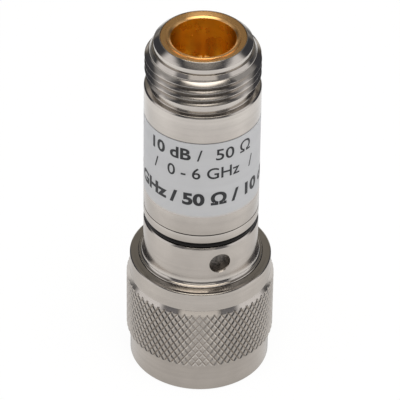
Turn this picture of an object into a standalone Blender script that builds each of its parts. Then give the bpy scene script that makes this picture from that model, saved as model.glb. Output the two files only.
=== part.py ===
"""Fixed coaxial attenuator with a Type N plug and a Type N jack.

The part stands on the front edge of its coupling nut, with the jack upwards.
The origin is at the middle of that edge and +Z runs along the axis of the line.
A turned outline is a list of (radius, height) points. It starts at the top inner
corner, runs outwards and down the outer side, and returns up the bore.
"""

import math

import bmesh
import bpy
from mathutils import Matrix, Vector

MM = 0.001
MERGE_DISTANCE = 0.0001 * MM

# Clearances
SEAM = 0.12 * MM
FIT = 0.15 * MM
RUNNING_CLEARANCE = 0.25 * MM

# Coaxial line of 50 ohms and the contacts of the two ends
LINE_DIAMETER = 7.0 * MM
CONDUCTOR_DIAMETER = 3.04 * MM
REFERENCE_DEPTH = 9.1 * MM
BEAD_LENGTH = 2.4 * MM
FERRULE_WALL = 0.5 * MM
FERRULE_CHAMFER = 0.15 * MM
FERRULE_BASE_LENGTH = 7.2 * MM
SOCKET_CLEARANCE = 0.33 * MM
SOCKET_WALL = 1.17 * MM
SOCKET_BEVEL = 0.3 * MM
SOCKET_EDGE_CHAMFER = 0.25 * MM
SOCKET_RECESS = 0.05 * MM

# Plug interface
NECK_LENGTH = 6.45 * MM
GASKET_THICKNESS = 1.4 * MM
GASKET_LEDGE = 0.75 * MM
PIN_DIAMETER = 1.65 * MM
PIN_REACH = 1.1 * MM
PIN_SHOULDER_DEPTH = 5.5 * MM
PIN_TIP_LENGTH = 0.8 * MM
PLUG_BEAD_DEPTH = 12.7 * MM

# Jack centre contact
FINGER_RISE = 5.0 * MM
FINGER_BORE = 1.7 * MM
FINGER_BORE_DEPTH = 5.6 * MM
FINGER_SLOT = 0.35 * MM
FINGER_SLOT_DEPTH = 4.6 * MM
JACK_BEAD_DEPTH = 0.5 * MM

# Plug body
BODY_STEP = 0.08 * MM
BODY_EDGE_CHAMFER = 0.2 * MM
BARREL_LENGTH = 6.45 * MM
FLANGE_FILLET = 0.45 * MM
FLANGE_EDGE = 0.2 * MM
FLANGE_THICKNESS = 0.75 * MM
NECK_WALL = 0.45 * MM
SPIGOT_LENGTH = 6.2 * MM
SPANNER_HOLE_DIAMETER = 3.1 * MM
SPANNER_HOLE_DEPTH = 1.3 * MM
SPANNER_HOLE_HEIGHT = 3.4 * MM
SPANNER_HOLE_ANGLE = math.radians(20.0)

# Coupling nut
NUT_HEIGHT = 17.5 * MM
NUT_RIM_WALL = 1.0 * MM
NUT_SKIRT_STEP = 0.1 * MM
NUT_EDGE_CHAMFER = 0.25 * MM
NUT_RECESS_DEPTH = 0.6 * MM
NUT_LIP_THICKNESS = 2.7 * MM
NUT_CHAMBER_GAP = 0.4 * MM
NUT_THREAD_RUN_OUT = 1.3 * MM
NUT_MOUTH_GAP = 0.28 * MM
NUT_MOUTH_DEPTH = 1.7 * MM

# Diamond knurl on the nut
KNURL_RISE = 0.45 * MM
KNURL_DEPTH = 0.2 * MM
KNURL_TEETH = 64
KNURL_BOTTOM = 4.85 * MM
KNURL_DIAMOND_HEIGHT = 1.56 * MM
KNURL_DIAMONDS = 6
KNURL_END_SLOPE = 0.35 * MM

# Retaining ring that holds the nut
RING_THICKNESS = 0.8 * MM
RING_HOLD = 0.65 * MM
RING_GROOVE_DEPTH = 0.5 * MM
RING_OPENING = 3.0 * MM

# Seal and spacer between plug body and sleeve
SEAL_SPACE = 0.95 * MM
SEAL_SECTION = 0.8 * MM
SEAL_INSET = 0.08 * MM
SPACER_LENGTH = 1.15 * MM

# Sleeve and its label
SLEEVE_LENGTH = 15.7 * MM
SLEEVE_WALL = 1.0 * MM
LABEL_HEIGHT = 12.75 * MM
LABEL_THICKNESS = 0.12 * MM
LABEL_GAP = 0.08 * MM

# Jack shell
COLLAR_LENGTH = 3.95 * MM
NOSE_LENGTH = 8.1 * MM
NOSE_RIM_WIDTH = 0.3 * MM
NOSE_CONE_WIDTH = 0.7 * MM
NOSE_CONE_HEIGHT = 0.7 * MM
NOSE_LAND_HEIGHT = 0.6 * MM
NOSE_LEAD_STEP = 0.3 * MM
NOSE_LEAD_HEIGHT = 1.6 * MM
RELIEF_UNDERCUT = 0.17 * MM
RELIEF_LENGTH = 1.75 * MM
RELIEF_RADIUS = 0.3 * MM
JACK_SPIGOT_LENGTH = 5.9 * MM
JACK_HOLDER_SEAT = 2.5 * MM

# Thread 5/8-24 UNEF, whose wall and depth give 15.84 mm over the crests
THREAD_WALL = 1.62 * MM
THREAD_PITCH = 1.058 * MM
THREAD_DEPTH = 0.65 * MM
THREAD_ROOT_FLAT = 0.17 * MM
THREAD_TURNS = 5
THREAD_OVERCUT = 0.08 * MM
THREAD_FLANK_ANGLE = math.radians(30.0)
NUT_THREAD_DEPTH = 0.52 * MM

# Attenuator card and what holds it
CARD_LENGTH = 12.2 * MM
CARD_WIDTH = 8.4 * MM
CARD_THICKNESS = 0.64 * MM
HOLDER_CHANNEL = 6.0 * MM
GROUND_RING_THICKNESS = 0.4 * MM
GROUND_RING_WIDTH = 1.6 * MM
CARD_CONTACT_DIAMETER = 2.4 * MM
CARD_CONTACT_GRIP = 1.6 * MM

# Facets round a full turn
OUTER_FACETS = 40
INNER_FACETS = 24
FILLET_STEPS = 3
SEAL_FACETS = 8

# Radii that follow from the line outwards
LINE_RADIUS = LINE_DIAMETER / 2
FERRULE_RADIUS = LINE_RADIUS + FERRULE_WALL
SOCKET_RADIUS = FERRULE_RADIUS + SOCKET_CLEARANCE
BUSH_RADIUS = SOCKET_RADIUS + SOCKET_WALL
BORE_RADIUS = BUSH_RADIUS + FIT
GASKET_RADIUS = BORE_RADIUS + GASKET_LEDGE
NECK_RADIUS = GASKET_RADIUS + FIT + NECK_WALL
LIP_RADIUS = NECK_RADIUS + RUNNING_CLEARANCE
RING_GROOVE_RADIUS = NECK_RADIUS - RING_GROOVE_DEPTH
RING_RADIUS = LIP_RADIUS + RING_HOLD

# Radii that follow from the bore through the thread to the body
THREAD_ROOT_RADIUS = BORE_RADIUS + THREAD_WALL
THREAD_RADIUS = THREAD_ROOT_RADIUS + THREAD_DEPTH
BODY_RADIUS = THREAD_RADIUS + BODY_STEP
SLEEVE_BORE_RADIUS = BODY_RADIUS - SLEEVE_WALL
SPIGOT_RADIUS = SLEEVE_BORE_RADIUS - FIT
FLANGE_RADIUS = BODY_RADIUS + FLANGE_FILLET + FLANGE_EDGE
RECESS_RADIUS = FLANGE_RADIUS + RUNNING_CLEARANCE
RIM_RADIUS = RECESS_RADIUS + NUT_RIM_WALL
SKIRT_RADIUS = RIM_RADIUS - NUT_SKIRT_STEP
KNURL_ROOT_RADIUS = RIM_RADIUS + KNURL_RISE - KNURL_DEPTH

# Heights in the stack, from the nut up
KNURL_TOP = KNURL_BOTTOM + KNURL_DIAMONDS * KNURL_DIAMOND_HEIGHT
RECESS_FLOOR = NUT_HEIGHT - NUT_RECESS_DEPTH
LIP_BOTTOM = RECESS_FLOOR - NUT_LIP_THICKNESS
RING_TOP = LIP_BOTTOM - RUNNING_CLEARANCE
FLANGE_BOTTOM = RECESS_FLOOR + RUNNING_CLEARANCE
FLANGE_TOP = FLANGE_BOTTOM + FLANGE_THICKNESS
BARREL_TOP = FLANGE_TOP + BARREL_LENGTH
SPACER_BOTTOM = BARREL_TOP + SEAL_SPACE
SPACER_TOP = SPACER_BOTTOM + SPACER_LENGTH
SLEEVE_BOTTOM = SPACER_TOP + SEAM
SLEEVE_TOP = SLEEVE_BOTTOM + SLEEVE_LENGTH
COLLAR_BOTTOM = SLEEVE_TOP + SEAM
COLLAR_TOP = COLLAR_BOTTOM + COLLAR_LENGTH
JACK_FACE = COLLAR_TOP + NOSE_LENGTH
JACK_REFERENCE = JACK_FACE - REFERENCE_DEPTH

# Heights inside, from both ends towards the card
GASKET_BOTTOM = FLANGE_BOTTOM - NECK_LENGTH
FERRULE_TIP = GASKET_BOTTOM - REFERENCE_DEPTH
NUT_THREAD_TOP = GASKET_BOTTOM - NUT_THREAD_RUN_OUT
GASKET_TOP = GASKET_BOTTOM + GASKET_THICKNESS
PLUG_BORE_FLOOR = GASKET_TOP + FIT
PLUG_BUSH_BOTTOM = PLUG_BORE_FLOOR + FIT
PLUG_BUSH_TOP = PLUG_BUSH_BOTTOM + FERRULE_BASE_LENGTH
PLUG_RING_BOTTOM = PLUG_BUSH_TOP + FIT
HOLDER_BOTTOM = PLUG_RING_BOTTOM + GROUND_RING_THICKNESS + FIT
JACK_SHELL_BOTTOM = COLLAR_BOTTOM - JACK_SPIGOT_LENGTH
JACK_BUSH_BOTTOM = JACK_SHELL_BOTTOM + JACK_HOLDER_SEAT
JACK_RING_BOTTOM = JACK_BUSH_BOTTOM - FIT - GROUND_RING_THICKNESS
HOLDER_TOP = JACK_RING_BOTTOM - FIT
CARD_MIDDLE = (HOLDER_BOTTOM + HOLDER_TOP) / 2
PLUG_PIN_TOP = HOLDER_BOTTOM + GROUND_RING_THICKNESS
JACK_CONTACT_BOTTOM = HOLDER_TOP - GROUND_RING_THICKNESS

STEEL = ("passivated_stainless_steel", (0.60, 0.58, 0.56), 1.0, 0.3)
GOLD = ("gold_plating", (0.83, 0.55, 0.18), 1.0, 0.22)
SILVER = ("silver_plated_brass", (0.82, 0.81, 0.78), 1.0, 0.3)
RUBBER = ("black_fluorocarbon_rubber", (0.02, 0.02, 0.02), 0.0, 0.55)
SILICONE = ("red_silicone_rubber", (0.42, 0.08, 0.05), 0.0, 0.6)
FILM = ("silver_grey_label_film", (0.68, 0.70, 0.72), 0.3, 0.4)
PLASTIC = ("white_bead_plastic", (0.85, 0.84, 0.80), 0.0, 0.45)
CERAMIC = ("alumina_ceramic", (0.88, 0.87, 0.84), 0.0, 0.5)


def clear_scene():
    for old in list(bpy.data.objects):
        bpy.data.objects.remove(old, do_unlink=True)


def finish_material(finish):
    """Principled material of a named finish, made once."""
    name, colour, metallic, roughness = finish
    made = bpy.data.materials.get(name)
    if made:
        return made
    made = bpy.data.materials.new(name)
    made.use_nodes = True
    shader = made.node_tree.nodes["Principled BSDF"]
    shader.inputs["Base Color"].default_value = (*colour, 1.0)
    shader.inputs["Metallic"].default_value = metallic
    shader.inputs["Roughness"].default_value = roughness
    return made


def make_object(name, form, height, parent, finish=None):
    """Object from a bmesh that is written about its own base height."""
    mesh = bpy.data.meshes.new(name)
    form.to_mesh(mesh)
    form.free()
    made = bpy.data.objects.new(name, mesh)
    bpy.context.scene.collection.objects.link(made)
    made.parent = parent
    made.location = (0.0, 0.0, height)
    if finish:
        mesh.materials.append(finish_material(finish))
        mesh.shade_smooth()
        mesh.set_sharp_from_angle(angle=math.radians(25.0))
    else:
        made.display_type = "WIRE"
        made.hide_render = True
    return made


def around(radius, turn, height):
    return (radius * math.cos(turn), radius * math.sin(turn), height)


def fillet(middle, radius, start, end):
    """Points of a round corner about middle, from one angle to another in degrees."""
    points = []
    for step in range(FILLET_STEPS + 1):
        angle = math.radians(start + (end - start) * step / FILLET_STEPS)
        points.append((middle[0] + radius * math.cos(angle), middle[1] + radius * math.sin(angle)))
    return points


def spin_outline(outline, base, facets, closed=True):
    """bmesh of an outline turned once round the Z axis."""
    form = bmesh.new()
    corners = [form.verts.new((radius, 0.0, height - base)) for radius, height in outline]
    edges = [form.edges.new(pair) for pair in zip(corners, corners[1:])]
    on_axis = outline[0][0] == 0.0
    if closed and not on_axis:
        edges.append(form.edges.new((corners[-1], corners[0])))
    bmesh.ops.spin(
        form,
        geom=corners + edges,
        axis=(0.0, 0.0, 1.0),
        angle=math.tau,
        steps=facets,
        use_merge=True,
    )
    bmesh.ops.remove_doubles(form, verts=form.verts, dist=MERGE_DISTANCE)
    bmesh.ops.recalc_face_normals(form, faces=form.faces)
    return form


def turned(name, outline, finish, parent, facets=OUTER_FACETS):
    """Turned piece whose origin is on the axis at its lowest point."""
    base = min(height for _, height in outline)
    form = spin_outline(outline, base, facets)
    return make_object(name, form, base, parent, finish)


def ring(name, inner, outer, bottom, top, finish, parent, facets=INNER_FACETS):
    """Plain flat ring between two radii."""
    outline = [(inner, top), (outer, top), (outer, bottom), (inner, bottom)]
    return turned(name, outline, finish, parent, facets)


def box_cutter(name, size, middle, parent):
    form = bmesh.new()
    bmesh.ops.create_cube(form, size=1.0, matrix=Matrix.Diagonal((*size, 1.0)))
    bmesh.ops.translate(form, verts=form.verts, vec=Vector(middle))
    return make_object(name, form, 0.0, parent)


def rod_cutter(name, diameter, length, matrix, parent):
    """Rod along the local Z axis, placed by a matrix."""
    form = bmesh.new()
    bmesh.ops.create_cone(
        form,
        cap_ends=True,
        segments=INNER_FACETS,
        radius1=diameter / 2,
        radius2=diameter / 2,
        depth=length,
        matrix=matrix,
    )
    return make_object(name, form, 0.0, parent)


def cut(piece, cutter):
    trim = piece.modifiers.new(cutter.name, "BOOLEAN")
    trim.operation = "DIFFERENCE"
    trim.solver = "EXACT"
    trim.object = cutter


def knurl_band(form):
    """Diamonds between two sets of crossing grooves, each raised to a point."""
    tooth = math.tau / KNURL_TEETH
    rows = []
    for row in range(2 * KNURL_DIAMONDS + 1):
        height = KNURL_BOTTOM + row * KNURL_DIAMOND_HEIGHT / 2
        shift = 0.5 * (row % 2)
        turns = [(place + shift) * tooth for place in range(KNURL_TEETH)]
        rows.append([form.verts.new(around(KNURL_ROOT_RADIUS, turn, height)) for turn in turns])
    diamonds = []
    for row, middle in enumerate(rows):
        for place in range(KNURL_TEETH):
            beyond = (place + row % 2) % KNURL_TEETH
            left, right = middle[place], middle[(place + 1) % KNURL_TEETH]
            if row == 0:
                form.faces.new((left, right, rows[1][beyond]))
            elif row == len(rows) - 1:
                form.faces.new((right, left, rows[row - 1][beyond]))
            else:
                corners = (rows[row - 1][beyond], right, rows[row + 1][beyond], left)
                diamonds.append(form.faces.new(corners))
    form.normal_update()
    bmesh.ops.poke(form, faces=diamonds, offset=KNURL_DEPTH)


def coupling_nut(parent):
    """Knurled nut with a lip that the plug body traps, a chamber and a thread bore."""
    chamber = RING_RADIUS + NUT_CHAMBER_GAP
    bore = THREAD_RADIUS - NUT_THREAD_DEPTH
    mouth = THREAD_RADIUS + NUT_MOUTH_GAP
    outline = [
        (KNURL_ROOT_RADIUS, KNURL_TOP),
        (RIM_RADIUS, KNURL_TOP + KNURL_END_SLOPE),
        (RIM_RADIUS, NUT_HEIGHT - NUT_EDGE_CHAMFER),
        (RIM_RADIUS - NUT_EDGE_CHAMFER, NUT_HEIGHT),
        (RECESS_RADIUS, NUT_HEIGHT),
        (RECESS_RADIUS, RECESS_FLOOR),
        (LIP_RADIUS, RECESS_FLOOR),
        (LIP_RADIUS, LIP_BOTTOM),
        (chamber, LIP_BOTTOM),
        (chamber, NUT_THREAD_TOP + (chamber - bore)),
        (bore, NUT_THREAD_TOP),
        (bore, NUT_MOUTH_DEPTH + (mouth - bore)),
        (mouth, NUT_MOUTH_DEPTH),
        (mouth, 0.0),
        (SKIRT_RADIUS - NUT_EDGE_CHAMFER, 0.0),
        (SKIRT_RADIUS, NUT_EDGE_CHAMFER),
        (SKIRT_RADIUS, KNURL_BOTTOM - KNURL_END_SLOPE),
        (KNURL_ROOT_RADIUS, KNURL_BOTTOM),
    ]
    form = spin_outline(outline, 0.0, KNURL_TEETH, closed=False)
    knurl_band(form)
    bmesh.ops.remove_doubles(form, verts=form.verts, dist=MERGE_DISTANCE)
    bmesh.ops.recalc_face_normals(form, faces=form.faces)
    return make_object("coupling_nut", form, 0.0, parent, STEEL)


def plug_body(parent):
    """Turned body with the flange and neck that carry the nut, and a spigot for the sleeve."""
    corner = (BODY_RADIUS + FLANGE_FILLET, FLANGE_TOP + FLANGE_FILLET)
    groove_bottom = RING_TOP - RING_THICKNESS - FIT
    outline = [
        (BORE_RADIUS, BARREL_TOP + SPIGOT_LENGTH),
        (SPIGOT_RADIUS, BARREL_TOP + SPIGOT_LENGTH),
        (SPIGOT_RADIUS, BARREL_TOP),
        (BODY_RADIUS - BODY_EDGE_CHAMFER, BARREL_TOP),
        (BODY_RADIUS, BARREL_TOP - BODY_EDGE_CHAMFER),
        *fillet(corner, FLANGE_FILLET, 180.0, 270.0),
        (FLANGE_RADIUS, FLANGE_TOP),
        (FLANGE_RADIUS, FLANGE_BOTTOM),
        (NECK_RADIUS, FLANGE_BOTTOM),
        (NECK_RADIUS, RING_TOP + FIT),
        (RING_GROOVE_RADIUS, RING_TOP + FIT),
        (RING_GROOVE_RADIUS, groove_bottom),
        (NECK_RADIUS, groove_bottom),
        (NECK_RADIUS, GASKET_BOTTOM),
        (GASKET_RADIUS + FIT, GASKET_BOTTOM),
        (GASKET_RADIUS + FIT, PLUG_BORE_FLOOR),
        (BORE_RADIUS, PLUG_BORE_FLOOR),
    ]
    body = turned("plug_body", outline, STEEL, parent)
    height = Matrix.Translation((0.0, 0.0, FLANGE_TOP + SPANNER_HOLE_HEIGHT))
    outwards = Matrix.Rotation(SPANNER_HOLE_ANGLE, 4, "Z") @ Matrix.Rotation(math.radians(90.0), 4, "X")
    place = height @ outwards @ Matrix.Translation((0.0, 0.0, BODY_RADIUS))
    drill = rod_cutter("spanner_drill", SPANNER_HOLE_DIAMETER, 2 * SPANNER_HOLE_DEPTH, place, parent)
    cut(body, drill)
    return body


def retaining_ring(parent):
    """Open spring ring in the neck groove, under the lip of the nut."""
    inner = RING_GROOVE_RADIUS + FIT
    low, high = RING_TOP - RING_THICKNESS, RING_TOP
    piece = ring("retaining_ring", inner, RING_RADIUS, low, high, STEEL, parent, OUTER_FACETS)
    size = (RING_OPENING, RING_RADIUS - inner + 2 * FIT, 2 * RING_THICKNESS)
    middle = (0.0, (RING_RADIUS + inner) / 2, RING_TOP - RING_THICKNESS / 2)
    gap = box_cutter("ring_gap", size, middle, parent)
    cut(piece, gap)
    return piece


def seal_ring(parent):
    """O-ring squeezed between the plug body and the spacer ring."""
    middle = (BODY_RADIUS - SEAL_INSET - SEAL_SECTION / 2, (BARREL_TOP + SPACER_BOTTOM) / 2)
    section = []
    for step in range(SEAL_FACETS):
        angle = math.pi / 2 - math.tau * step / SEAL_FACETS
        radius = middle[0] + SEAL_SECTION / 2 * math.cos(angle)
        section.append((radius, middle[1] + SEAL_SECTION / 2 * math.sin(angle)))
    return turned("seal_ring", section, RUBBER, parent)


def spacer_ring(parent):
    low, high = SPACER_BOTTOM, SPACER_TOP
    return ring("spacer_ring", SLEEVE_BORE_RADIUS, BODY_RADIUS, low, high, STEEL, parent, OUTER_FACETS)


def sleeve(parent):
    """Tube that joins plug body and jack shell, with a shallow seat for the label."""
    seat = BODY_RADIUS - LABEL_THICKNESS - LABEL_GAP
    seat_bottom = SLEEVE_TOP - LABEL_HEIGHT - LABEL_GAP
    outline = [
        (SLEEVE_BORE_RADIUS, SLEEVE_TOP),
        (seat, SLEEVE_TOP),
        (seat, seat_bottom),
        (BODY_RADIUS, seat_bottom),
        (BODY_RADIUS, SLEEVE_BOTTOM),
        (SLEEVE_BORE_RADIUS, SLEEVE_BOTTOM),
    ]
    return turned("sleeve", outline, STEEL, parent)


def label_film(parent):
    inner = BODY_RADIUS - LABEL_THICKNESS
    bottom = SLEEVE_TOP - LABEL_HEIGHT
    return ring("label_film", inner, BODY_RADIUS, bottom, SLEEVE_TOP, FILM, parent, OUTER_FACETS)


def thread_cutter(parent):
    """Helical groove with flanks at 60 degrees, wound as a right-hand thread."""
    root = THREAD_ROOT_RADIUS
    crest = THREAD_RADIUS + THREAD_OVERCUT
    half_root = THREAD_ROOT_FLAT / 2
    half_crest = half_root + (crest - root) * math.tan(THREAD_FLANK_ANGLE)
    start = COLLAR_TOP + RELIEF_LENGTH - half_crest
    form = bmesh.new()
    section = [(root, -half_root), (crest, -half_crest), (crest, half_crest), (root, half_root)]
    corners = [form.verts.new((radius, 0.0, height)) for radius, height in section]
    face = form.faces.new(corners)
    bmesh.ops.spin(
        form,
        geom=corners + list(face.edges) + [face],
        axis=(0.0, 0.0, 1.0),
        angle=math.tau * THREAD_TURNS,
        steps=OUTER_FACETS * THREAD_TURNS,
        dvec=(0.0, 0.0, THREAD_PITCH / OUTER_FACETS),
    )
    bmesh.ops.recalc_face_normals(form, faces=form.faces)
    return make_object("thread_cutter", form, start, parent)


def jack_shell(parent):
    """Threaded shell of the jack, with a collar flush with the sleeve and a spigot inside it."""
    rim = BORE_RADIUS + NOSE_RIM_WIDTH
    cone = rim + NOSE_CONE_WIDTH
    relief = THREAD_ROOT_RADIUS - RELIEF_UNDERCUT
    cone_bottom = JACK_FACE - NOSE_CONE_HEIGHT
    lead_top = cone_bottom - NOSE_LAND_HEIGHT
    thread_bottom = COLLAR_TOP + RELIEF_LENGTH
    corner = (relief + RELIEF_RADIUS, COLLAR_TOP + RELIEF_RADIUS)
    outline = [
        (BORE_RADIUS, JACK_FACE),
        (rim, JACK_FACE),
        (cone, cone_bottom),
        (cone, lead_top),
        (cone + NOSE_LEAD_STEP, lead_top),
        (THREAD_RADIUS, lead_top - NOSE_LEAD_HEIGHT),
        (THREAD_RADIUS, thread_bottom + (THREAD_RADIUS - relief) / 2),
        (relief, thread_bottom),
        *fillet(corner, RELIEF_RADIUS, 180.0, 270.0),
        (BODY_RADIUS - BODY_EDGE_CHAMFER, COLLAR_TOP),
        (BODY_RADIUS, COLLAR_TOP - BODY_EDGE_CHAMFER),
        (BODY_RADIUS, COLLAR_BOTTOM),
        (SPIGOT_RADIUS, COLLAR_BOTTOM),
        (SPIGOT_RADIUS, JACK_SHELL_BOTTOM),
        (BORE_RADIUS, JACK_SHELL_BOTTOM),
    ]
    shell = turned("jack_shell", outline, STEEL, parent)
    cut(shell, thread_cutter(parent))
    return shell


def jack_outer_contact(parent):
    """Gold-plated outer conductor of the jack, with the socket that takes a plug's ferrule."""
    face = JACK_FACE - SOCKET_RECESS
    outline = [
        (SOCKET_RADIUS + SOCKET_BEVEL, face),
        (BUSH_RADIUS - SOCKET_EDGE_CHAMFER, face),
        (BUSH_RADIUS, face - SOCKET_EDGE_CHAMFER),
        (BUSH_RADIUS, JACK_BUSH_BOTTOM),
        (LINE_RADIUS, JACK_BUSH_BOTTOM),
        (LINE_RADIUS, JACK_REFERENCE),
        (SOCKET_RADIUS, JACK_REFERENCE),
        (SOCKET_RADIUS, face - SOCKET_BEVEL),
    ]
    return turned("jack_outer_contact", outline, GOLD, parent, OUTER_FACETS)


def jack_centre_contact(parent):
    """Socket contact with four spring fingers."""
    radius = CONDUCTOR_DIAMETER / 2
    bore = FINGER_BORE / 2
    tip = JACK_REFERENCE + FINGER_RISE
    outline = [
        (0.0, tip - FINGER_BORE_DEPTH),
        (bore, tip - FINGER_BORE_DEPTH),
        (bore, tip),
        (radius - FERRULE_CHAMFER, tip),
        (radius, tip - FERRULE_CHAMFER),
        (radius, JACK_CONTACT_BOTTOM),
        (0.0, JACK_CONTACT_BOTTOM),
    ]
    contact = turned("jack_centre_contact", outline, GOLD, parent, INNER_FACETS)
    width = 2 * CONDUCTOR_DIAMETER
    middle = (0.0, 0.0, tip)
    for name, turn in (("slot_cutter_x", 0.0), ("slot_cutter_y", 90.0)):
        size = (width, FINGER_SLOT, 2 * FINGER_SLOT_DEPTH)
        slot = box_cutter(name, size, middle, parent)
        slot.rotation_euler.z = math.radians(turn)
        cut(contact, slot)
    return contact


def bead(name, top, parent):
    """Insulating disc that centres the inner conductor."""
    inner = CONDUCTOR_DIAMETER / 2 + FIT
    return ring(name, inner, LINE_RADIUS - FIT, top - BEAD_LENGTH, top, PLASTIC, parent)


def plug_outer_contact(parent):
    """Ferrule of the plug and the base that is pressed into its body."""
    outline = [
        (LINE_RADIUS, PLUG_BUSH_TOP),
        (BUSH_RADIUS, PLUG_BUSH_TOP),
        (BUSH_RADIUS, PLUG_BUSH_BOTTOM),
        (FERRULE_RADIUS, PLUG_BUSH_BOTTOM),
        (FERRULE_RADIUS, FERRULE_TIP + FERRULE_CHAMFER),
        (FERRULE_RADIUS - FERRULE_CHAMFER, FERRULE_TIP),
        (LINE_RADIUS, FERRULE_TIP),
    ]
    return turned("plug_outer_contact", outline, GOLD, parent, INNER_FACETS)


def plug_gasket(parent):
    """Flat sealing ring that the rim of a mating jack presses on."""
    inner = FERRULE_RADIUS + FIT
    return ring("plug_gasket", inner, GASKET_RADIUS, GASKET_BOTTOM, GASKET_TOP, SILICONE, parent)


def plug_pin(parent):
    """Centre pin, stepped down where the fingers of a mating jack close on it."""
    radius = CONDUCTOR_DIAMETER / 2
    pin = PIN_DIAMETER / 2
    shoulder = FERRULE_TIP + PIN_SHOULDER_DEPTH
    tip = FERRULE_TIP - PIN_REACH
    outline = [
        (0.0, PLUG_PIN_TOP),
        (radius, PLUG_PIN_TOP),
        (radius, shoulder),
        (pin, shoulder),
        (pin, tip + PIN_TIP_LENGTH),
        (pin / 2, tip),
        (0.0, tip),
    ]
    return turned("plug_pin", outline, GOLD, parent, INNER_FACETS)


def card_contact(name, near, direction, parent):
    """Forked tab between a centre conductor and the edge of the card."""
    radius = CARD_CONTACT_DIAMETER / 2
    card_edge = CARD_MIDDLE - direction * CARD_LENGTH / 2
    far = card_edge + direction * CARD_CONTACT_GRIP
    low, high = sorted((near, far))
    outline = [(0.0, high), (radius, high), (radius, low), (0.0, low)]
    contact = turned(name, outline, GOLD, parent, INNER_FACETS)
    depth = CARD_CONTACT_GRIP + FIT
    size = (2 * CARD_CONTACT_DIAMETER, CARD_THICKNESS + 2 * FIT, 2 * depth)
    middle = (0.0, 0.0, card_edge - direction * FIT + direction * depth)
    cut(contact, box_cutter(name + "_fork", size, middle, parent))
    return contact


def attenuator_card(parent):
    """Ceramic card that carries the resistive film."""
    form = bmesh.new()
    size = (CARD_WIDTH, CARD_THICKNESS, CARD_LENGTH)
    bmesh.ops.create_cube(form, size=1.0, matrix=Matrix.Diagonal((*size, 1.0)))
    return make_object("attenuator_card", form, CARD_MIDDLE, parent, CERAMIC)


def half_arc(radius, side):
    """Points of a half circle on one side of the parting plane, which keeps a fit to each half."""
    first = math.asin(FIT / radius)
    steps = INNER_FACETS // 2
    turns = [first + (math.pi - 2 * first) * step / steps for step in range(steps + 1)]
    return [(radius * math.cos(turn), side * radius * math.sin(turn)) for turn in turns]


def card_holder(name, side, parent):
    """Half of the split holder: a half round with a channel and a seat for the card."""
    form = bmesh.new()
    section = half_arc(BUSH_RADIUS, side) + half_arc(HOLDER_CHANNEL / 2, side)[::-1]
    face = form.faces.new([form.verts.new((*point, 0.0)) for point in section])
    drawn = bmesh.ops.extrude_face_region(form, geom=[face])["geom"]
    ends = [item for item in drawn if isinstance(item, bmesh.types.BMVert)]
    bmesh.ops.translate(form, verts=ends, vec=(0.0, 0.0, HOLDER_TOP - HOLDER_BOTTOM))
    bmesh.ops.recalc_face_normals(form, faces=form.faces)
    holder = make_object(name, form, HOLDER_BOTTOM, parent, SILVER)
    seat_size = (CARD_WIDTH + 2 * FIT, CARD_THICKNESS + 2 * FIT, CARD_LENGTH + 2 * FIT)
    cut(holder, box_cutter(name + "_seat", seat_size, (0.0, 0.0, CARD_MIDDLE), parent))
    return holder


def ground_ring(name, bottom, parent):
    """Thin ring that carries the shield current between contact and holder."""
    inner = BUSH_RADIUS - GROUND_RING_WIDTH
    return ring(name, inner, BUSH_RADIUS, bottom, bottom + GROUND_RING_THICKNESS, GOLD, parent)


def build_attenuator():
    clear_scene()
    line_axis = bpy.data.objects.new("line_axis", None)
    bpy.context.scene.collection.objects.link(line_axis)
    nut_axis = bpy.data.objects.new("nut_axis", None)
    bpy.context.scene.collection.objects.link(nut_axis)
    nut_axis.parent = line_axis

    coupling_nut(nut_axis)
    plug_body(line_axis)
    retaining_ring(line_axis)
    seal_ring(line_axis)
    spacer_ring(line_axis)
    sleeve(line_axis)
    label_film(line_axis)
    jack_shell(line_axis)
    jack_outer_contact(line_axis)
    jack_centre_contact(line_axis)
    bead("jack_bead", JACK_REFERENCE - JACK_BEAD_DEPTH, line_axis)
    plug_outer_contact(line_axis)
    plug_gasket(line_axis)
    plug_pin(line_axis)
    bead("plug_bead", FERRULE_TIP + PLUG_BEAD_DEPTH + BEAD_LENGTH, line_axis)
    attenuator_card(line_axis)
    card_holder("card_holder_front", -1, line_axis)
    card_holder("card_holder_back", 1, line_axis)
    card_contact("plug_card_contact", PLUG_PIN_TOP + FIT, 1, line_axis)
    card_contact("jack_card_contact", JACK_CONTACT_BOTTOM - FIT, -1, line_axis)
    ground_ring("plug_ground_ring", PLUG_RING_BOTTOM, line_axis)
    ground_ring("jack_ground_ring", JACK_RING_BOTTOM, line_axis)


build_attenuator()
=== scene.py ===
"""Finished surfaces of an in-line coaxial attenuator that stands on its coupling nut.

Each turned piece is an outline of (radius, height, rounding) points that is spun round the Z axis.
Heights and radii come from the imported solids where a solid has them.
"""

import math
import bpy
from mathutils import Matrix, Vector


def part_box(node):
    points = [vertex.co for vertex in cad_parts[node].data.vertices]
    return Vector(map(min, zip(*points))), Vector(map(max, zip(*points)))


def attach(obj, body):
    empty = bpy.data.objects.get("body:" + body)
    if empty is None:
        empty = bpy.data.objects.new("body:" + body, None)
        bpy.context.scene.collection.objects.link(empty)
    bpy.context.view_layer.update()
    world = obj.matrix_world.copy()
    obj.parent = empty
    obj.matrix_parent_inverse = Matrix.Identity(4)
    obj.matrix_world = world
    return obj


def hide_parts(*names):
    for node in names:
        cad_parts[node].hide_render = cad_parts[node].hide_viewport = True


bl_info = {
    "name": "Coaxial Attenuator Finish",
    "version": (1, 0, 0),
    "blender": (4, 5, 0),
    "location": "3D View > Sidebar > Attenuator",
    "description": "Makes the finished pieces, materials and studio of a coaxial attenuator",
    "category": "Object",
}

import bmesh
import bpy
from mathutils import Euler, Matrix, Vector

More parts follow.
